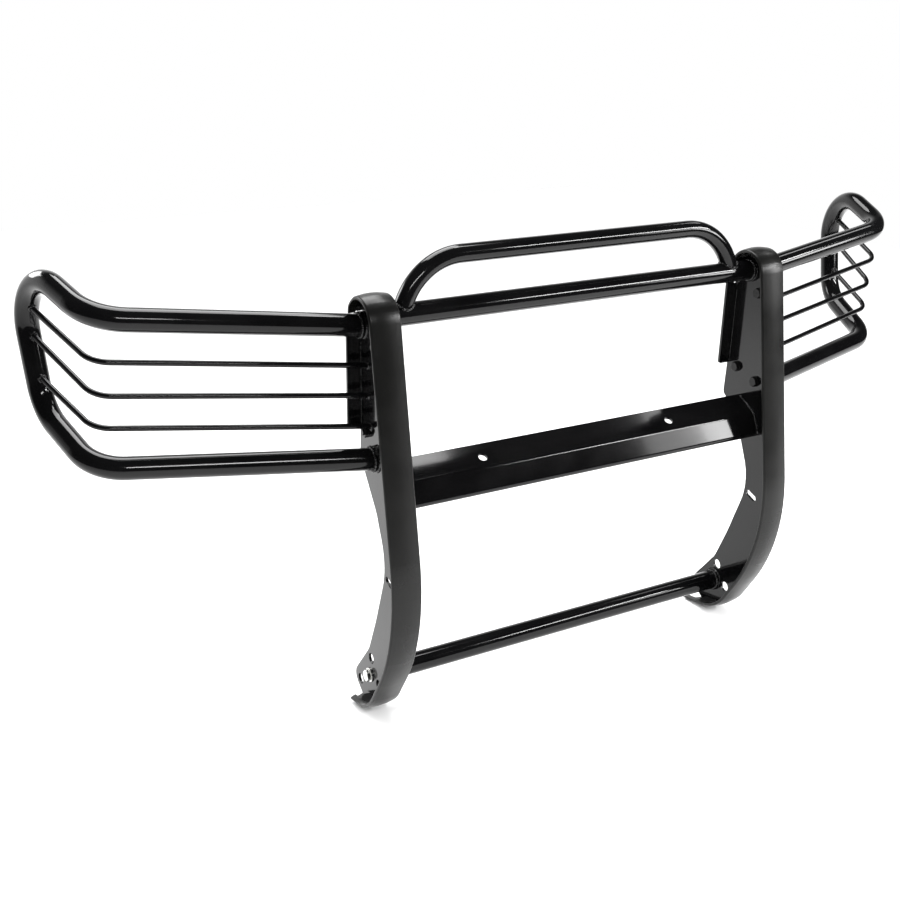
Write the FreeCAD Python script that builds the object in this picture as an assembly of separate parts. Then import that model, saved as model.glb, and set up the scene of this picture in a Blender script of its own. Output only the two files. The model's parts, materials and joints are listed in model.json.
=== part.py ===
"""Front grille guard for a pickup truck.

Two upright plates carry three cross members, a bent hoop and a pair of wrap-round wings.
Millimetres throughout.  X runs across the vehicle, -Y is its front and +Z is up.
The origin is on the axis of the bottom cross tube, half-way between the plates.
"""

import FreeCAD, Part
import math
import os

# Upright plates, placed by the middle of their thickness.
plate_x = 400.0
plate_thickness = 5.0
plate_inner_x = plate_x - plate_thickness / 2
plate_outer_x = plate_x + plate_thickness / 2

# Lip line of the front strip as (Y, Z) corners from the foot to the top, with bend radii.
strip_corners = [(64.0, -61.5), (-33.0, -46.5), (-157.5, 143.0), (-70.5, 738.5), (-8.0, 679.5),
                 (-6.5, 668.8)]
strip_radii = [0.0, 92.0, 354.0, 39.0, 12.0, 0.0]
strip_half_width = 27.5
strip_side = 5.2
strip_crown = 10.0
strip_wall = 2.4
strip_lip = 1.2
strip_lip_half_gap = 15.0
strip_crown_bend = 100.0
strip_toe_inner_cut = 2.0
strip_toe_outer_cut = 31.0

# Flat bar under the strip, welded along the front edge of each plate.
bar_half_width = 20.0
bar_thickness = 2.5
bar_seat = strip_lip + 0.2
bar_foot_cut = 34.0
bar_top_cut = 3.0

# Remaining corners of the plate outline as (Y, Z, radius), from the tail of the strip to the foot.
plate_top_corners = [(20.0, 665.0, 8.0), (13.0, 640.0, 4.0), (2.0, 640.0, 0.0)]
plate_step_corners = [(8.0, 471.0, 0.0), (13.0, 471.0, 1.5), (17.5, 407.0, 12.0), (4.0, 395.5, 25.0)]
plate_waist_corners = [(-41.0, 331.0, 60.0), (-76.0, 244.0, 120.0), (-28.0, 120.0, 220.0)]
plate_foot_corners = [(3.0, 52.0, 60.0), (71.0, -28.0, 20.0)]
plate_toe_reach = 68.0

# Round holes through the plates as (Y, Z).
frame_hole_radius = 10.0
frame_holes = [(-6.0, 36.0), (-34.0, -4.0), (41.0, -29.0)]
foot_bolt_radius = 6.0
plate_bolt_radius = 5.0
plate_bolt_places = [(-15.0, 468.0), (-69.0, 451.0), (-59.0, 622.0)]
hole_clearance = 0.5

# Sloping oval slot in each plate.
slot_centre = (-85.5, 219.0)
slot_length = 29.0
slot_height = 11.5
slot_slope = math.radians(22.0)

# Flat bar behind each plate, standing across its rear edge.
flange_half_width = 27.5
flange_thickness = 5.0
flange_height = 167.0

# Round members.
cross_tube_radius = 19.05
hoop_tube_radius = 15.875
tube_wall = 2.1
rod_radius = 4.75
centre_tube_y = -30.0
centre_tube_z = 662.0
hoop_foot_x = 345.0
hoop_corner_x = 323.0
hoop_corner_z = 751.0
hoop_bend_radius = 112.0
plug_length = 14.0

# Folded beam, outer surface as (Y, Z) from the rear edge of its top to its hidden lower flange.
beam_corners = [(-27.0, 414.0), (-73.0, 388.0), (-92.0, 344.0), (-56.0, 341.0)]
beam_radii = [0.0, 8.0, 8.0, 0.0]
beam_thickness = 5.0
beam_hole_x = 203.0
beam_hole_radius = 8.0
beam_hole_from_bend = 22.5

# Right-hand wing: one bent tube and three bent rods, as (X, Y, Z) corners with bend radii.
wing_tube_corners = [(402.5, -4.0, 645.5), (821.0, 39.0, 697.0), (883.0, 258.0, 770.0),
                     (872.0, 211.0, 514.0), (834.0, 63.0, 455.0), (402.5, -42.0, 428.0)]
wing_tube_radii = [0.0, 80.0, 80.0, 80.0, 80.0, 0.0]
wing_rod_bend = 45.0
wing_rods = {
    "upper": [(402.5, -22.0, 583.0), (824.0, 50.0, 629.0), (878.0, 230.0, 691.0)],
    "middle": [(402.5, -21.0, 532.0), (824.0, 56.0, 574.0), (876.0, 225.0, 641.0)],
    "lower": [(402.5, -28.0, 481.0), (828.0, 63.0, 521.0), (874.0, 215.0, 574.0)],
}

# Fasteners.
plate_bolt_across_flats = 17.0
plate_bolt_head_height = 6.4
plate_nut_height = 8.0
foot_bolt_across_flats = 19.0
foot_bolt_head_height = 7.5
foot_bolt_length = 18.0

# Weld beads.
tube_bead = 3.5
rod_bead = 2.5

across = FreeCAD.Vector(1, 0, 0)


def profile_point(pair, x=0.0):
    """A (Y, Z) pair as a point on the plane at x."""
    return FreeCAD.Vector(x, pair[0], pair[1])


def unit(vector):
    """The direction of a vector."""
    return FreeCAD.Vector(vector).normalize()


def left_of(direction):
    """Left-hand normal of a direction lying in a plane across X."""
    return FreeCAD.Vector(0, -direction.z, direction.y)


def bent_edges(points, radii, closed=False):
    """Straight edges through the points, with a tangent arc at each one that has a radius."""
    count = len(points)
    starts = []
    ends = []
    arcs = []
    for index, corner in enumerate(points):
        if radii[index] == 0.0 or (not closed and index in (0, count - 1)):
            starts.append(corner)
            ends.append(corner)
            arcs.append(None)
            continue
        back = unit(points[index - 1] - corner)
        ahead = unit(points[(index + 1) % count] - corner)
        half_angle = back.getAngle(ahead) / 2
        reach = radii[index] / math.tan(half_angle)
        bisector = unit(back + ahead)
        middle = corner + bisector * (radii[index] / math.sin(half_angle) - radii[index])
        starts.append(corner + back * reach)
        ends.append(corner + ahead * reach)
        arcs.append(middle)
    edges = []
    for index in range(count):
        if arcs[index] is not None:
            edges.append(Part.Arc(starts[index], arcs[index], ends[index]).toShape())
        if index < count - 1 or closed:
            following = starts[(index + 1) % count]
            if ends[index].distanceToPoint(following) > 1e-6:
                edges.append(Part.makeLine(ends[index], following))
    return edges


def divided_arcs(edges, largest_turn):
    """The same edges with each arc divided into shorter arcs, none turning more than the limit."""
    divided = []
    for edge in edges:
        if not isinstance(edge.Curve, Part.Circle):
            divided.append(edge)
            continue
        first, last = edge.ParameterRange
        count = math.ceil((last - first) / largest_turn)
        step = (last - first) / count
        for index in range(count):
            divided.append(edge.Curve.toShape(first + step * index, first + step * (index + 1)))
    return divided


def offset_path(points, radii, distance):
    """The same bent path moved sideways, to the left of its direction."""
    headings = [unit(after - before) for before, after in zip(points, points[1:])]
    moved = [points[0] + left_of(headings[0]) * distance]
    moved_radii = [0.0]
    for index in range(1, len(points) - 1):
        normal_in = left_of(headings[index - 1])
        normal_out = left_of(headings[index])
        mitre = (normal_in + normal_out) * (1 / (1 + normal_in.dot(normal_out)))
        moved.append(points[index] + mitre * distance)
        turns_left = headings[index - 1].cross(headings[index]).x > 0
        moved_radii.append(radii[index] - distance if turns_left else radii[index] + distance)
    moved.append(points[-1] + left_of(headings[-1]) * distance)
    moved_radii.append(0.0)
    return moved, moved_radii


def band_face(points, radii, near, far):
    """Face between two sideways offsets of one bent path."""
    first_points, first_radii = offset_path(points, radii, near)
    second_points, second_radii = offset_path(points, radii, far)
    first = bent_edges(first_points, first_radii)
    second = bent_edges(second_points, second_radii)
    ends = [Part.makeLine(first_points[0], second_points[0]),
            Part.makeLine(first_points[-1], second_points[-1])]
    return Part.Face(Part.Wire(Part.__sortEdges__(first + second + ends)))


def trimmed(points, start_cut, end_cut):
    """The same path with a length taken off each end."""
    path = list(points)
    path[0] = path[0] + unit(path[1] - path[0]) * start_cut
    path[-1] = path[-1] + unit(path[-2] - path[-1]) * end_cut
    return path


def swept_round(points, radii, radius):
    """Round bar of one radius along a bent path."""
    path = Part.Wire(bent_edges(points, radii))
    section = Part.Wire(Part.makeCircle(radius, points[0], unit(points[1] - points[0])))
    return path.makePipeShell([section], True, False)


def bent_tube(points, radii, radius):
    """Hollow round tube along a bent path."""
    return swept_round(points, radii, radius).cut(swept_round(points, radii, radius - tube_wall))


def cylinder_x(radius, x_from, x_to, y, z):
    """Cylinder lying across the vehicle."""
    return Part.makeCylinder(radius, x_to - x_from, FreeCAD.Vector(x_from, y, z), across)


def ring_x(outer, inner, x_from, x_to, y, z):
    """Flat ring lying across the vehicle."""
    return cylinder_x(outer, x_from, x_to, y, z).cut(cylinder_x(inner, x_from, x_to, y, z))


def hexagon_x(across_flats, x_from, x_to, y, z, outward):
    """Hexagonal prism with its free end chamfered; outward is the sign of that end."""
    corner_radius = across_flats / math.sqrt(3)
    corners = []
    for step in range(7):
        angle = math.radians(60 * step + 15)
        corners.append(FreeCAD.Vector(x_from, y + corner_radius * math.cos(angle),
                                      z + corner_radius * math.sin(angle)))
    prism = Part.Face(Part.makePolygon(corners)).extrude(FreeCAD.Vector(x_to - x_from, 0, 0))
    height = x_to - x_from
    wide = corner_radius + 2 * height
    narrow = across_flats / 2 * 0.97
    slope_height = (wide - narrow) * math.tan(math.radians(30))
    free_end = x_to if outward > 0 else x_from
    base = FreeCAD.Vector(free_end - outward * slope_height, y, z)
    cone = Part.makeCone(wide, narrow, slope_height, base, across * outward)
    return prism.common(cone)


def outside_plate(shape):
    """The part of a right-hand shape beyond the outer face of the plate."""
    keep = Part.makeBox(1200, 1400, 1400, FreeCAD.Vector(plate_outer_x, -500, -300))
    return largest(shape.common(keep))


def largest(shape):
    """The biggest solid of a shape."""
    return max(shape.Solids, key=lambda solid: solid.Volume)


def mirrored(shape):
    """The left-hand copy of a right-hand shape."""
    return shape.mirror(FreeCAD.Vector(0, 0, 0), across)


def both_sides(shapes):
    """Right-hand shapes together with their left-hand copies."""
    return list(shapes) + [mirrored(shape) for shape in shapes]


def save(name, shapes):
    """Write one node as a step file."""
    solids = []
    for shape in shapes:
        solids.extend(shape.Solids)
    result = solids[0] if len(solids) == 1 else Part.makeCompound(solids)
    result.exportStep("parts/" + name + ".step")


def save_pair(name, shapes):
    """Write the right-hand node and its left-hand copy."""
    save("right_" + name, shapes)
    save("left_" + name, [mirrored(shape) for shape in shapes])


strip_path = [profile_point(pair, plate_x) for pair in strip_corners]


def make_face_strip():
    """Open rubber channel with inward lips, cut off slantwise at its foot."""
    start = strip_path[0]
    along = unit(strip_path[1] - start)
    outward = left_of(along)

    inner_half = strip_half_width - strip_wall
    inner_side = strip_side - strip_wall + 0.6
    inner_crown = strip_crown - strip_wall
    half_section = [
        (strip_half_width, strip_side, 3.8), (strip_half_width, 0.0, 0.6),
        (strip_lip_half_gap, 0.0, 0.5), (strip_lip_half_gap, strip_lip, 0.0),
        (inner_half, strip_lip, 0.0), (inner_half, inner_side, 1.0),
    ]
    ring = [(0.0, strip_crown, strip_crown_bend)] + half_section
    ring += [(0.0, inner_crown, strip_crown_bend - strip_wall)]
    ring += [(-u, v, radius) for u, v, radius in reversed(half_section)]
    corners = [start + across * u + outward * v for u, v, radius in ring]
    edges = bent_edges(corners, [radius for u, v, radius in ring], closed=True)
    section = Part.Wire(edges)
    path = Part.Wire(divided_arcs(bent_edges(strip_path, strip_radii), math.radians(12)))
    strip = path.makePipeShell([section], True, False)

    depth = 60.0
    slant = (strip_toe_outer_cut - strip_toe_inner_cut) / (2 * strip_half_width)
    middle_cut = (strip_toe_outer_cut + strip_toe_inner_cut) / 2
    cut_corners = []
    for u, cut in ((-40.0, -30.0), (40.0, -30.0), (40.0, middle_cut + 40.0 * slant),
                   (-40.0, middle_cut - 40.0 * slant)):
        cut_corners.append(start + across * u + along * cut - outward * depth / 2)
    outline = Part.makePolygon(cut_corners + cut_corners[:1])
    block = Part.Face(outline).extrude(outward * depth)
    return largest(strip.cut(block))


def make_face_bar():
    """Bent flat bar inside the strip."""
    path = trimmed(strip_path, bar_foot_cut, bar_top_cut)
    face = band_face(path, strip_radii, bar_seat, bar_seat + bar_thickness)
    face.translate(FreeCAD.Vector(-bar_half_width, 0, 0))
    return face.extrude(across * (2 * bar_half_width))


def make_upright_plate():
    """Flat plate with its frame holes, bolt holes and oval slot."""
    front, front_radii = offset_path(strip_path, strip_radii, bar_seat)
    top_corners = plate_top_corners + plate_step_corners + plate_waist_corners
    corners = front[3:6]
    radii = front_radii[3:6]
    for y, z, radius in top_corners + plate_foot_corners:
        corners.append(profile_point((y, z), plate_x))
        radii.append(radius)
    corners += [front[1] + unit(front[0] - front[1]) * plate_toe_reach, front[1], front[2]]
    radii += [0.0, front_radii[1], front_radii[2]]
    outline = Part.Wire(bent_edges(corners, radii, closed=True))
    face = Part.Face(outline)
    face.translate(across * (-plate_thickness / 2))
    plate = face.extrude(across * plate_thickness)
    for y, z in frame_holes:
        plate = plate.cut(cylinder_x(frame_hole_radius, plate_inner_x - 1, plate_outer_x + 1, y, z))
    bolt_holes = [(plate_bolt_radius, y, z) for y, z in plate_bolt_places]
    bolt_holes.append((foot_bolt_radius, 0.0, 0.0))
    for radius, y, z in bolt_holes:
        hole = cylinder_x(radius + hole_clearance, plate_inner_x - 1, plate_outer_x + 1, y, z)
        plate = plate.cut(hole)
    return plate.cut(make_slot())


def make_slot():
    """Sloping oval cutter through the plate."""
    lean = FreeCAD.Vector(0, math.cos(slot_slope), math.sin(slot_slope))
    rise = left_of(lean)
    half = slot_length / 2 - slot_height / 2
    centre = profile_point(slot_centre, plate_inner_x - 1)
    side = rise * (slot_height / 2)
    edges = [
        Part.makeLine(centre - lean * half + side, centre + lean * half + side),
        Part.Arc(centre + lean * half + side, centre + lean * (slot_length / 2),
                 centre + lean * half - side).toShape(),
        Part.makeLine(centre + lean * half - side, centre - lean * half - side),
        Part.Arc(centre - lean * half - side, centre - lean * (slot_length / 2),
                 centre - lean * half + side).toShape(),
    ]
    return Part.Face(Part.Wire(edges)).extrude(across * (plate_thickness + 2))


def make_rear_flange():
    """Flat bar across the rear edge of the plate, with rounded corners."""
    edge_top = profile_point(plate_top_corners[-1][:2], plate_x)
    foot = profile_point(plate_step_corners[0][:2], plate_x)
    up = unit(edge_top - foot)
    low = foot + up * 0.3
    height = flange_height
    corners = [low - across * flange_half_width, low + across * flange_half_width,
               low + across * flange_half_width + up * height,
               low - across * flange_half_width + up * height]
    outline = Part.Wire(bent_edges(corners, [4.0] * 4, closed=True))
    rearward = FreeCAD.Vector(0, up.z, -up.y)
    return Part.Face(outline).extrude(rearward * flange_thickness)


def make_cross_tube(y, z):
    """Straight tube between the two plates."""
    return ring_x(cross_tube_radius, cross_tube_radius - tube_wall, -plate_inner_x, plate_inner_x, y, z)


hoop_path = [FreeCAD.Vector(-hoop_foot_x, centre_tube_y, centre_tube_z),
             FreeCAD.Vector(-hoop_corner_x, centre_tube_y, hoop_corner_z),
             FreeCAD.Vector(hoop_corner_x, centre_tube_y, hoop_corner_z),
             FreeCAD.Vector(hoop_foot_x, centre_tube_y, centre_tube_z)]
hoop_radii = [0.0, hoop_bend_radius, hoop_bend_radius, 0.0]


def make_hoop(centre_tube_solid):
    """Bent tube coped over the centre tube."""
    return largest(bent_tube(hoop_path, hoop_radii, hoop_tube_radius).cut(centre_tube_solid))


def beam_hole_frame():
    """Middle of the beam's sloping top between its holes, and the direction out of it."""
    rear = profile_point(beam_corners[0])
    bend = profile_point(beam_corners[1])
    slope = unit(rear - bend)
    return bend + slope * beam_hole_from_bend, FreeCAD.Vector(0, -slope.z, slope.y)


def make_cross_beam():
    """Folded sheet between the plates, with two holes in its sloping top."""
    path = [profile_point(pair, -plate_inner_x) for pair in beam_corners]
    face = band_face(path, beam_radii, 0.0, beam_thickness)
    beam = face.extrude(across * (2 * plate_inner_x))
    middle, outward = beam_hole_frame()
    for side in (-1, 1):
        base = middle + across * (side * beam_hole_x) - outward * 10
        beam = beam.cut(Part.makeCylinder(beam_hole_radius, 15, base, outward))
    return beam


def lengthened(points, extra):
    """A path with both ends carried further."""
    return trimmed(points, -extra, -extra)


def wing_points(corners):
    """Wing corners as points."""
    return [FreeCAD.Vector(*corner) for corner in corners]


def make_wing():
    """Right-hand wing tube, its solid envelope and the three rods."""
    path = lengthened(wing_points(wing_tube_corners), 15.0)
    tube = outside_plate(bent_tube(path, wing_tube_radii, cross_tube_radius))
    envelope = swept_round(path, wing_tube_radii, cross_tube_radius)
    rods = {}
    for name, corners in wing_rods.items():
        points = wing_points(corners)
        points[0] = points[0] + unit(points[0] - points[1]) * 15.0
        bar = swept_round(points, [0.0, wing_rod_bend, 0.0], rod_radius)
        rods[name] = outside_plate(largest(bar.cut(envelope)))
    return tube, envelope, rods


def plate_bead(points, radii, radius, bead):
    """Ring of weld where a right-hand member meets the outer face of its plate."""
    wide = swept_round(points, radii, radius + bead)
    core = swept_round(points, radii, radius)
    slab = Part.makeBox(bead, 1400, 1400, FreeCAD.Vector(plate_outer_x, -500, -300))
    pieces = wide.common(slab).cut(core)
    return pieces.Solids


def make_wing_welds(envelope, flange):
    """Weld rings of one wing: at the plate and where the rods meet the tube."""
    welds = []
    tube_path = lengthened(wing_points(wing_tube_corners), 15.0)
    for ring in plate_bead(tube_path, wing_tube_radii, cross_tube_radius, tube_bead):
        welds.append(ring.cut(flange))
    wide_envelope = swept_round(tube_path, wing_tube_radii, cross_tube_radius + rod_bead)
    for corners in wing_rods.values():
        points = wing_points(corners)
        points[0] = points[0] + unit(points[0] - points[1]) * 15.0
        radii = [0.0, wing_rod_bend, 0.0]
        welds.extend(plate_bead(points, radii, rod_radius, rod_bead))
        wide = swept_round(points, radii, rod_radius + rod_bead)
        core = swept_round(points, radii, rod_radius)
        ring = wide.common(wide_envelope).cut(envelope).cut(core)
        welds.append(largest(ring))
    return welds


def make_cross_welds(centre_tube_solid):
    """Weld rings of the cross members and the hoop feet, right-hand half."""
    welds = []
    inner = plate_inner_x
    for y, z in ((centre_tube_y, centre_tube_z), (0.0, 0.0)):
        collar = ring_x(cross_tube_radius + tube_bead, cross_tube_radius, inner - tube_bead, inner, y, z)
        welds.append(collar)
    path = [profile_point(pair, inner - tube_bead) for pair in beam_corners[:3]]
    path = trimmed(path, 0.0, 6.0)
    radii = beam_radii[:2] + [0.0]
    welds.append(band_face(path, radii, 0.0, -tube_bead).extrude(across * tube_bead))
    wide_hoop = swept_round(hoop_path, hoop_radii, hoop_tube_radius + tube_bead)
    core_hoop = swept_round(hoop_path, hoop_radii, hoop_tube_radius)
    wide_tube = cylinder_x(cross_tube_radius + tube_bead, 0, inner, centre_tube_y, centre_tube_z)
    saddle = wide_hoop.common(wide_tube).cut(core_hoop).cut(centre_tube_solid)
    welds.append(largest(saddle))
    return welds


def make_plate_bolts():
    """Bolts, washers and nuts through the right-hand plate, with heads on its inner face."""
    bolts = []
    washers = []
    nuts = []
    washer = 1.6
    for y, z in plate_bolt_places:
        seat = plate_inner_x - washer
        washers.append(ring_x(10.5, plate_bolt_radius + hole_clearance, seat, plate_inner_x, y, z))
        head = hexagon_x(plate_bolt_across_flats, seat - plate_bolt_head_height, seat, y, z, -1)
        end = plate_outer_x + plate_nut_height + 3.0
        shank = cylinder_x(plate_bolt_radius, seat, end, y, z)
        bolts.append(head.fuse(shank).removeSplitter())
        nut = hexagon_x(plate_bolt_across_flats, plate_outer_x, plate_outer_x + plate_nut_height, y, z, 1)
        nuts.append(nut.cut(cylinder_x(plate_bolt_radius + 0.1, plate_outer_x - 1, end, y, z)))
    return bolts, washers, nuts


def make_foot_fasteners():
    """Right-hand foot bolt, its washer and the threaded plug closing the bottom tube."""
    washer = 2.5
    seat = plate_outer_x + washer
    disc = ring_x(13.0, foot_bolt_radius + hole_clearance, plate_outer_x, seat, 0.0, 0.0)
    head = hexagon_x(foot_bolt_across_flats, seat, seat + foot_bolt_head_height, 0.0, 0.0, 1)
    shank = cylinder_x(foot_bolt_radius, seat - washer - foot_bolt_length, seat, 0.0, 0.0)
    bolt = head.fuse(shank).removeSplitter()
    plug = ring_x(cross_tube_radius - tube_wall, foot_bolt_radius + 0.1,
                  plate_inner_x - plug_length, plate_inner_x, 0.0, 0.0)
    return bolt, disc, plug


os.makedirs("parts", exist_ok=True)

centre_tube_solid = cylinder_x(cross_tube_radius, -plate_inner_x, plate_inner_x,
                               centre_tube_y, centre_tube_z)
wing_tube, wing_envelope, rods = make_wing()
plate_bolts, plate_washers, plate_nuts = make_plate_bolts()
foot_bolt, foot_washer, foot_plug = make_foot_fasteners()
rear_flange = make_rear_flange().cut(wing_envelope)

save_pair("upright_plate", [make_upright_plate()])
save_pair("face_bar", [make_face_bar()])
save_pair("face_strip", [make_face_strip()])
save_pair("rear_flange", [rear_flange])
save_pair("wing_tube", [wing_tube])
for rod_name, rod in rods.items():
    save_pair(rod_name + "_wing_rod", [rod])
save_pair("wing_welds", make_wing_welds(wing_envelope, rear_flange))
save("top_cross_tube", [make_cross_tube(centre_tube_y, centre_tube_z)])
save("bottom_cross_tube", [make_cross_tube(0.0, 0.0)])
save("top_hoop", [make_hoop(centre_tube_solid)])
save("cross_beam", [make_cross_beam()])
save("cross_member_welds", both_sides(make_cross_welds(centre_tube_solid)))
save("bottom_tube_plugs", both_sides([foot_plug]))
save("foot_bolts", both_sides([foot_bolt]))
save("foot_washers", both_sides([foot_washer]))
save("plate_bolts", both_sides(plate_bolts))
save("plate_washers", both_sides(plate_washers))
save("plate_nuts", both_sides(plate_nuts))
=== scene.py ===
import bpy
import math
import random
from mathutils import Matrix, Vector
from mathutils.bvhtree import BVHTree
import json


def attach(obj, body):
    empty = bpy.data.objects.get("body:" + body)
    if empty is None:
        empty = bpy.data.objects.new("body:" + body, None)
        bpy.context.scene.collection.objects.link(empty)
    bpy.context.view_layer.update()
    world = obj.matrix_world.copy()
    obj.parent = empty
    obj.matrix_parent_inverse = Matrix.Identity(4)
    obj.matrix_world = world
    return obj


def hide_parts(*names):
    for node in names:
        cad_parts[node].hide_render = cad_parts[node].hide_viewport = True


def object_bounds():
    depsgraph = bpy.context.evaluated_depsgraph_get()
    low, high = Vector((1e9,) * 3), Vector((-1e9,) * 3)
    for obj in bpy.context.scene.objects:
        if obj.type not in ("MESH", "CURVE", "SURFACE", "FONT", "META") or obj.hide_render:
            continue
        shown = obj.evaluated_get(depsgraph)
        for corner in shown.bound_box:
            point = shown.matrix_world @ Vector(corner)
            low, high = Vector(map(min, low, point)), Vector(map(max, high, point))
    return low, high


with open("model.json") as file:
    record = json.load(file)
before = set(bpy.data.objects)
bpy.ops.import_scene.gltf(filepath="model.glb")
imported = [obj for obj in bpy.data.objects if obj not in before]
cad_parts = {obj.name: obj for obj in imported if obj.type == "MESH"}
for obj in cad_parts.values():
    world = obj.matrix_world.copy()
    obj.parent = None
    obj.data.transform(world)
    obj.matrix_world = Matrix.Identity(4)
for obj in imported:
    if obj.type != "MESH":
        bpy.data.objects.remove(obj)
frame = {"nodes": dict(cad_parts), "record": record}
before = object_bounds()

nodes = frame["nodes"]
rng = random.Random(7)


# ---------------------------------------------------------------- sizes of the guard, in metres

tube_radius = 0.01905
hoop_radius = 0.015875
rod_radius = 0.00475
inner_face = 0.3975         # x of the right plate's inner face
outer_face = 0.4025         # x of the right plate's outer face

# Each bar of the right wing runs from its foot on the plate to a bend. The last point of a
# rod is its tail on the wing tube.
wing_tube_legs = [((outer_face, -0.004, 0.6455), (0.821, 0.039, 0.697)),
                  ((outer_face, -0.042, 0.428), (0.834, 0.063, 0.455))]
wing_rods = [((outer_face, -0.022, 0.583), (0.824, 0.050, 0.629), (0.878, 0.230, 0.691)),
             ((outer_face, -0.021, 0.532), (0.824, 0.056, 0.574), (0.876, 0.225, 0.641)),
             ((outer_face, -0.028, 0.481), (0.828, 0.063, 0.521), (0.874, 0.215, 0.574))]

# The axes of the top and bottom cross tubes, as (y, z).
cross_tubes = [(-0.030, 0.662), (0.0, 0.0)]

# The folded beam's end, as (y, z): its sloping top, its rounded front edge and its front face.
beam_end = [(-0.030, 0.4127), (-0.068, 0.3912), (-0.0735, 0.3868), (-0.0765, 0.3800), (-0.0895, 0.3500)]

# The hoop's right foot on the top tube's axis, and the point its leg rises to.
hoop_foot = (0.345, -0.030, 0.662)
hoop_leg_top = (0.323, -0.030, 0.751)

# The rear flange's weld to the plate, as (y, z).
flange_seam = [(0.0068, 0.474), (0.0014, 0.619)]


# ---------------------------------------------------------------- material nodes

def new_material(name):
    material = bpy.data.materials.new(name)
    material.use_nodes = True
    tree = material.node_tree
    tree.nodes.clear()
    output = tree.nodes.new("ShaderNodeOutputMaterial")
    shader = tree.nodes.new("ShaderNodeBsdfPrincipled")
    tree.links.new(shader.outputs["BSDF"], output.inputs["Surface"])
    return material, tree, shader


def noise_node(tree, scale, detail=2.0):
    where = tree.nodes.new("ShaderNodeTexCoord")
    noise = tree.nodes.new("ShaderNodeTexNoise")
    noise.inputs["Scale"].default_value = scale
    noise.inputs["Detail"].default_value = detail
    tree.links.new(where.outputs["Object"], noise.inputs["Vector"])
    return noise.outputs["Fac"]


def ramp_between(tree, fac, low, high, start=0.35, end=0.65):
    """A value that goes from low to high while fac goes from start to end."""
    span = tree.nodes.new("ShaderNodeMapRange")
    span.inputs["From Min"].default_value = start
    span.inputs["From Max"].default_value = end
    span.inputs["To Min"].default_value = low
    span.inputs["To Max"].default_value = high
    tree.links.new(fac, span.inputs["Value"])
    return span.outputs["Result"]


def mixed_colour(tree, fac, first, second):
    mix = tree.nodes.new("ShaderNodeMix")
    mix.data_type = "RGBA"
    mix.inputs["A"].default_value = (*first, 1)
    mix.inputs["B"].default_value = (*second, 1)
    tree.links.new(fac, mix.inputs["Factor"])
    return mix.outputs["Result"]


# ---------------------------------------------------------------- materials of the guard

cloud_scale = 14.0          # noise scale of the slow change in colour and roughness
grain_detail = 3.0          # noise detail of the fine relief
roughness_least = 0.9       # the ends of the roughness range, as parts of the stated roughness
roughness_most = 1.12


def surface(name, first, second, rough, metallic=0.0, coat=0.0, coat_rough=0.1,
            grain=900.0, depth=0.00004, edge=0.0008, specular=0.5):
    """A material whose colour, roughness and relief all vary a little.

    grain is the noise scale of the relief, depth its height in metres, and edge the radius
    that rounds sharp edges in the shading.
    """
    material, tree, shader = new_material(name)
    clouds = noise_node(tree, cloud_scale)
    fine = noise_node(tree, grain, grain_detail)
    tone = ramp_between(tree, clouds, 0.0, 1.0)
    tree.links.new(mixed_colour(tree, tone, first, second), shader.inputs["Base Color"])
    roughness = ramp_between(tree, clouds, rough * roughness_least, rough * roughness_most)
    tree.links.new(roughness, shader.inputs["Roughness"])
    shader.inputs["Metallic"].default_value = metallic
    shader.inputs["Coat Weight"].default_value = coat
    shader.inputs["Coat Roughness"].default_value = coat_rough
    shader.inputs["Specular IOR Level"].default_value = specular
    bump = tree.nodes.new("ShaderNodeBump")
    bump.inputs["Distance"].default_value = depth
    tree.links.new(fine, bump.inputs["Height"])
    if edge:
        bevel = tree.nodes.new("ShaderNodeBevel")
        bevel.samples = 4
        bevel.inputs["Radius"].default_value = edge
        tree.links.new(bevel.outputs["Normal"], bump.inputs["Normal"])
    tree.links.new(bump.outputs["Normal"], shader.inputs["Normal"])
    return material


coat_dark = (0.0018, 0.0018, 0.0020)
coat_light = (0.0030, 0.0030, 0.0032)

powder_coat = surface("powder_coat", coat_dark, coat_light, rough=0.10,
                      coat=0.10, coat_rough=0.04, depth=0.000008, specular=0.24)
weld_coat = surface("weld_coat", coat_dark, coat_light, rough=0.12,
                    coat=0.1, coat_rough=0.04, depth=0.000008, edge=0.0, specular=0.3)
strip_rubber = surface("strip_rubber", (0.0026, 0.0026, 0.0024), (0.0036, 0.0036, 0.0033), rough=0.30,
                       grain=1400.0, depth=0.00003, edge=0.0, specular=0.27)
black_fastener = surface("black_fastener", (0.003, 0.003, 0.003), (0.007, 0.007, 0.007), rough=0.22,
                         coat=0.1, specular=0.12)
zinc_fastener = surface("zinc_fastener", (0.70, 0.70, 0.68), (0.82, 0.82, 0.80), rough=0.24,
                        metallic=1.0, grain=600.0)

by_slot = {"powder_coat": powder_coat, "strip_rubber": strip_rubber,
           "black_fastener": black_fastener, "zinc_fastener": zinc_fastener}
slot_of = {part["node"]: part["material_slot"] for part in frame["record"]["subparts"]}
for name, node in nodes.items():
    node.data.materials.clear()
    node.data.materials.append(by_slot[slot_of[name]])
    for polygon in node.data.polygons:
        polygon.material_index = 0


# ---------------------------------------------------------------- where the weld beads run

# A bead is (points, radius, closed): the line it follows, its radius and whether it is a ring.

plane_steps = 48            # points of a ring on a plate's face
hoop_steps = 40             # points of the ring round the hoop's foot
rod_steps = 24              # points of the ring round a rod's tail
hoop_run_up = 0.05          # how far before the end of a bar the search for its ring starts
rod_run_up = 0.06

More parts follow.
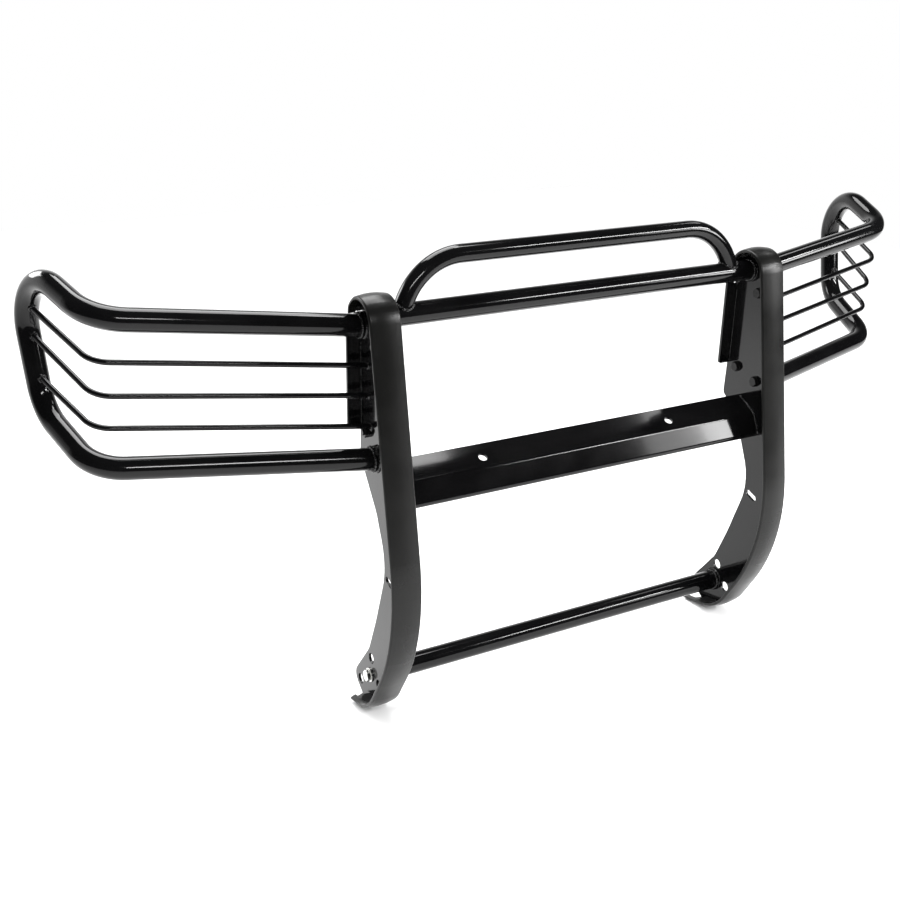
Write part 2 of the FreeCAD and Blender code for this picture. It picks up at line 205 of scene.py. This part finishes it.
wing_tube_bead = 0.0045
cross_tube_bead = 0.0044
second_bead = 0.0036        # the second pass of weld round a tube,
second_pass = 0.0065        # and how far along the tube it lies from the first
beam_bead = 0.0036
hoop_bead = 0.0038
rod_bead = 0.0032
seam_bead = 0.0021          # the seam of a rear flange,
seam_standoff = 0.0006      # and how far its middle lies off the plate's face


def surface_tree(name):
    """A node's surface, ready for ray casts."""
    mesh = nodes[name].data
    points = [v.co.copy() for v in mesh.vertices]
    return BVHTree.FromPolygons(points, [list(p.vertices) for p in mesh.polygons])


def rim_points(centre, direction, radius, steps):
    """Points on a round bar's rim at centre, square to its direction."""
    first = direction.orthogonal().normalized()
    second = direction.cross(first)
    rim = []
    for step in range(steps):
        angle = 2 * math.pi * step / steps
        rim.append(centre + (first * math.cos(angle) + second * math.sin(angle)) * radius)
    return rim


def contact_ring(end, direction, run_up, radius, target, steps):
    """Where the surface of a round bar that runs up to its end meets another node."""
    start = Vector(end) - direction * run_up
    direction = direction.normalized()
    ring = []
    for rim in rim_points(start, direction, radius, steps):
        hit = target.ray_cast(rim, direction)[0]
        if hit is not None:
            ring.append(hit)
    return ring


def ring_on_plane(foot, ahead, radius, x):
    """Where a round bar from foot towards ahead crosses the plane at x."""
    foot = Vector(foot)
    direction = (Vector(ahead) - foot).normalized()
    ring = []
    for rim in rim_points(foot, direction, radius, plane_steps):
        ring.append(rim + direction * ((x - rim.x) / direction.x))
    return ring


def mirrored(beads):
    """The same beads on the guard's left-hand side."""
    flipped = []
    for points, radius, closed in beads:
        flipped.append(([Vector((-p[0], p[1], p[2])) for p in points], radius, closed))
    return flipped


def right_wing_beads():
    """Two passes round each end of the wing tube, and one round each end of its rods."""
    beads = []
    for foot, bend in wing_tube_legs:
        beads.append((ring_on_plane(foot, bend, tube_radius, outer_face), wing_tube_bead, True))
        ring = ring_on_plane(foot, bend, tube_radius, outer_face + second_pass)
        beads.append((ring, second_bead, True))
    for foot, bend, _ in wing_rods:
        beads.append((ring_on_plane(foot, bend, rod_radius, outer_face), rod_bead, True))
    wing_tube = surface_tree("right_wing_tube")
    for _, bend, tail in wing_rods:
        direction = (Vector(tail) - Vector(bend)).normalized()
        ring = contact_ring(tail, direction, rod_run_up, rod_radius, wing_tube, rod_steps)
        beads.append((ring, rod_bead, True))
    return beads


def right_cross_beads():
    """The beads at the right-hand ends of the cross tubes, the beam and the hoop."""
    beads = []
    for y, z in cross_tubes:
        end = (inner_face, y, z)
        middle = (0.0, y, z)
        beads.append((ring_on_plane(end, middle, tube_radius, inner_face), cross_tube_bead, True))
        ring = ring_on_plane(end, middle, tube_radius, inner_face - second_pass)
        beads.append((ring, second_bead, True))
    beads.append(([(inner_face, y, z) for y, z in beam_end], beam_bead, False))
    top_tube = surface_tree("top_cross_tube")
    direction = (Vector(hoop_foot) - Vector(hoop_leg_top)).normalized()
    ring = contact_ring(hoop_foot, direction, hoop_run_up, hoop_radius, top_tube, hoop_steps)
    beads.append((ring, hoop_bead, True))
    return beads


def right_flange_beads():
    """A seam on each face of the right plate, where its rear flange meets it."""
    beads = []
    for x in (inner_face - seam_standoff, outer_face + seam_standoff):
        beads.append(([(x, y, z) for y, z in flange_seam], seam_bead, False))
    return beads


# ---------------------------------------------------------------- shape of the weld beads

bead_sides = 12             # vertices in each ring
ring_spacing = 0.22         # from one ring of vertices to the next, in bead radii
least_rings = 6
tiny = 1e-9                 # a shorter step of the path counts as none
phase_range = 6.28          # about one full turn, in radians

ripple_pitch = 0.0032       # length of one ripple, in metres
ripple_low = 0.70           # height between two ripples, in bead radii
ripple_rise = 0.30          # what the crest of a ripple adds to that
ripple_power = 0.6          # under 1, so that crests are broad and gaps narrow

swell_jump = 0.22           # a bead's thickness changes by up to this much at each ring,
swell_mean = 0.95           # while it is drawn back towards this value
swell_pull = 0.15           # by this part of the difference,
swell_least = 0.72          # and it stays within these two values
swell_most = 1.15
swell_cap = 1.05            # but no ring is drawn thicker than this

lean_size = 0.04            # random sideways shift of each ring, in bead radii
lean_memory = 0.7           # the part of the last ring's shift that is carried on

hollow_depth = 0.10         # depth of the hollows that wind round a bead, as part of its radius
hollow_count = 3
hollow_twist = 900          # their turn along the bead, in radians per metre

taper_length = 1.2          # length of an open bead's rounded end, in bead radii
taper_least = 0.02          # keeps the end rings from shrinking to a point


def even_steps(points, closed, step):
    """Points at an even spacing along a polyline, and its length."""
    path = [Vector(p) for p in points]
    if closed:
        path.append(path[0].copy())
    lengths = [0.0]
    for first, second in zip(path, path[1:]):
        lengths.append(lengths[-1] + (second - first).length)
    count = max(least_rings, int(lengths[-1] / step))
    spaced = []
    index = 0
    for number in range(count if closed else count + 1):
        reach = lengths[-1] * number / count
        while lengths[index + 1] < reach and index < len(path) - 2:
            index += 1
        gap = lengths[index + 1] - lengths[index]
        part = (reach - lengths[index]) / gap if gap > tiny else 0.0
        spaced.append(path[index].lerp(path[index + 1], part))
    return spaced, lengths[-1]


def heading_at(path, i, closed):
    """The direction of a path at its point i."""
    count = len(path)
    last_point = path[i - 1] if closed or i > 0 else path[i]
    next_point = path[(i + 1) % count] if closed or i < count - 1 else path[i]
    return (next_point - last_point).normalized()


def bead_vertices(path, length, radius, closed):
    """Rings of vertices along a path, as uneven as a weld laid by hand."""
    vertices = []
    swell = 1.0
    shift = Vector((0, 0, 0))
    phase = rng.random() * phase_range
    normal = heading_at(path, 0, closed).orthogonal().normalized()
    for i, point in enumerate(path):
        heading = heading_at(path, i, closed)
        normal = (normal - heading * normal.dot(heading)).normalized()
        side = heading.cross(normal)
        travel = length * i / len(path)
        turn = (travel / ripple_pitch) % 1.0
        swell += rng.uniform(-swell_jump, swell_jump) - (swell - swell_mean) * swell_pull
        swell = min(swell_most, max(swell_least, swell))
        crest = ripple_low + ripple_rise * math.sin(math.pi * turn) ** ripple_power
        reach = radius * crest * min(swell_cap, swell)
        if not closed:
            from_end = min(travel, length - travel) / (radius * taper_length)
            reach *= math.sqrt(max(taper_least, min(1.0, from_end)))
        lean = Vector([rng.uniform(-1, 1) for _ in range(3)]) * radius * lean_size
        shift = shift * lean_memory + lean
        for k in range(bead_sides):
            angle = 2 * math.pi * k / bead_sides
            hollow = 1.0 + hollow_depth * math.sin(hollow_count * angle + phase + travel * hollow_twist)
            rim = (normal * math.cos(angle) + side * math.sin(angle)) * reach * min(1.0, hollow)
            vertices.append(point + rim + shift)
    return vertices


def bead_faces(count, closed):
    """Faces between neighbouring rings, and a cap on each end of an open bead."""
    faces = []
    for i in range(count if closed else count - 1):
        ring = i * bead_sides
        next_ring = ((i + 1) % count) * bead_sides
        for k in range(bead_sides):
            next_k = (k + 1) % bead_sides
            faces.append((ring + k, ring + next_k, next_ring + next_k, next_ring + k))
    if not closed:
        faces.append(tuple(reversed(range(bead_sides))))
        faces.append(tuple(range((count - 1) * bead_sides, count * bead_sides)))
    return faces


def bead_piece(name, beads, replaced=None):
    """One piece made of several beads, which may take the place of a plain CAD node."""
    vertices = []
    faces = []
    for points, radius, closed in beads:
        path, length = even_steps(points, closed, radius * ring_spacing)
        start = len(vertices)
        vertices.extend(bead_vertices(path, length, radius, closed))
        for face in bead_faces(len(path), closed):
            faces.append(tuple(v + start for v in face))
    mesh = bpy.data.meshes.new(name)
    mesh.from_pydata(vertices, [], faces)
    mesh.polygons.foreach_set("use_smooth", [True] * len(mesh.polygons))
    mesh.materials.append(weld_coat)
    piece = bpy.data.objects.new(name, mesh)
    bpy.context.scene.collection.objects.link(piece)
    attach(piece, "root")
    if replaced:
        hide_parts(replaced)


wing_beads = right_wing_beads()
bead_piece("weld_beads_right_wing", wing_beads, "right_wing_welds")
bead_piece("weld_beads_left_wing", mirrored(wing_beads), "left_wing_welds")

cross_beads = right_cross_beads()
bead_piece("weld_beads_cross_members", cross_beads + mirrored(cross_beads), "cross_member_welds")

flange_beads = right_flange_beads()
bead_piece("weld_beads_flanges", flange_beads + mirrored(flange_beads))


# ---------------------------------------------------------------- floor

ground = before[0][2]       # height of the guard's lowest point
floor_gap = 0.0005          # between that point and the floor
floor_size = 8
floor_middle = 1.6          # how far behind the guard the floor's middle lies


def floor_material():
    material, tree, shader = new_material("floor")
    tone = noise_node(tree, scale=3.0)
    colour = mixed_colour(tree, tone, (0.86, 0.86, 0.86), (0.88, 0.88, 0.88))
    tree.links.new(colour, shader.inputs["Base Color"])
    shader.inputs["Roughness"].default_value = 0.9
    shader.inputs["Specular IOR Level"].default_value = 0.1
    return material


bpy.ops.mesh.primitive_plane_add(size=floor_size, location=(0, floor_middle, ground - floor_gap))
floor = bpy.context.object
floor.name = "floor"
floor.data.materials.append(floor_material())


# ---------------------------------------------------------------- lights

def soft_light(name, place, aim, width, height, radiance):
    """A rectangular light of a given brightness, turned towards a point."""
    data = bpy.data.lights.new(name, "AREA")
    data.shape = "RECTANGLE"
    data.size = width
    data.size_y = height
    data.energy = radiance * math.pi * width * height
    light = bpy.data.objects.new(name, data)
    light.location = place
    light.rotation_euler = (Vector(aim) - Vector(place)).to_track_quat("-Z", "Y").to_euler()
    light.visible_camera = False
    bpy.context.scene.collection.objects.link(light)


# The lights stand where the polished tubes, plates and strips mirror them as stretches of sheen.
soft_light("overhead", place=(0.05, 1.15, 3.0), aim=(0.0, 0.2, 0.0),
           width=1.7, height=2.0, radiance=9)
soft_light("left_top", place=(0.80, 0.25, 3.0), aim=(-0.35, 0.0, 0.4),
           width=0.45, height=0.5, radiance=12)
soft_light("right_top", place=(2.54, 0.34, 3.0), aim=(0.28, 0.0, 0.4),
           width=0.4, height=0.7, radiance=7)
soft_light("right_strip", place=(1.8, -1.7, 1.6), aim=(0.1, 0.0, 0.5),
           width=1.5, height=0.15, radiance=64)
soft_light("left_strip", place=(-0.8, -1.7, 1.5), aim=(-0.6, 0.0, 0.5),
           width=0.8, height=0.12, radiance=34)
soft_light("right_panel", place=(2.35, -1.7, 1.1), aim=(0.3, 0.0, 0.4),
           width=1.0, height=0.5, radiance=20)
soft_light("panel_edge", place=(1.74, -1.85, 1.12), aim=(0.2, 0.0, 0.4),
           width=0.32, height=0.5, radiance=7)

# This light falls on the floor behind the left wing.
soft_light("floor_wash", place=(-1.3, 1.3, 1.2), aim=(-0.6, 0.5, ground),
           width=0.6, height=0.6, radiance=11)


# ---------------------------------------------------------------- world

backdrop_start = 0.30       # the backdrop fades in between these parts of a direction's +Y,
backdrop_full = 0.65
backdrop_top_start = 0.35   # and fades out between these parts of its +Z
backdrop_top_end = 0.65


def background(tree, strength=1.0):
    shade = tree.nodes.new("ShaderNodeBackground")
    shade.inputs["Color"].default_value = (1, 1, 1, 1)
    shade.inputs["Strength"].default_value = strength
    return shade


def chosen_shader(tree, choice, plain, chosen):
    """One background where choice is 0 and another where it is 1."""
    mix = tree.nodes.new("ShaderNodeMixShader")
    tree.links.new(choice, mix.inputs["Fac"])
    tree.links.new(plain, mix.inputs[1])
    tree.links.new(chosen, mix.inputs[2])
    return mix.outputs["Shader"]


def mirrored_strength(tree, dark, backdrop):
    """Dark all round, with a bright low backdrop behind the guard."""
    where = tree.nodes.new("ShaderNodeTexCoord")
    split = tree.nodes.new("ShaderNodeSeparateXYZ")
    tree.links.new(where.outputs["Generated"], split.inputs["Vector"])
    behind = ramp_between(tree, split.outputs["Y"], 0.0, 1.0, backdrop_start, backdrop_full)
    below_top = ramp_between(tree, split.outputs["Z"], 1.0, 0.0, backdrop_top_start, backdrop_top_end)
    both = tree.nodes.new("ShaderNodeMath")
    both.operation = "MULTIPLY"
    tree.links.new(behind, both.inputs[0])
    tree.links.new(below_top, both.inputs[1])
    return ramp_between(tree, both.outputs["Value"], dark, backdrop, 0.0, 1.0)


def studio_world(seen, lit, dark, backdrop):
    """Even white light all round; polished surfaces mirror a dark room with a white backdrop."""
    world = bpy.data.worlds.new("studio")
    bpy.context.scene.world = world
    world.use_nodes = True
    tree = world.node_tree
    tree.nodes.clear()
    path = tree.nodes.new("ShaderNodeLightPath")
    lit_shade = background(tree, lit)
    seen_shade = background(tree, seen)
    mirrored_shade = background(tree)
    tree.links.new(mirrored_strength(tree, dark, backdrop), mirrored_shade.inputs["Strength"])
    direct = chosen_shader(tree, path.outputs["Is Camera Ray"],
                           lit_shade.outputs["Background"], seen_shade.outputs["Background"])
    every_ray = chosen_shader(tree, path.outputs["Is Glossy Ray"],
                              direct, mirrored_shade.outputs["Background"])
    output = tree.nodes.new("ShaderNodeOutputWorld")
    tree.links.new(every_ray, output.inputs["Surface"])


studio_world(seen=1.0, lit=1.13, dark=0.03, backdrop=1.2)


# ---------------------------------------------------------------- camera

bpy.context.scene.view_settings.view_transform = "Standard"
camera_data = bpy.data.cameras.new("camera")
camera_data.lens = 47.79
camera_data.sensor_width = 36.0
camera_data.clip_end = 60
camera = bpy.data.objects.new("camera", camera_data)
azimuth = math.radians(-29.16)
elevation = math.radians(20.09)
back = Vector((math.sin(azimuth) * math.cos(elevation), -math.cos(azimuth) * math.cos(elevation),
               math.sin(elevation)))
camera.location = (-1.1937, -1.7125, 1.1184)
camera.rotation_euler = back.to_track_quat("Z", "Y").to_euler()
bpy.context.scene.collection.objects.link(camera)
bpy.context.scene.camera = camera
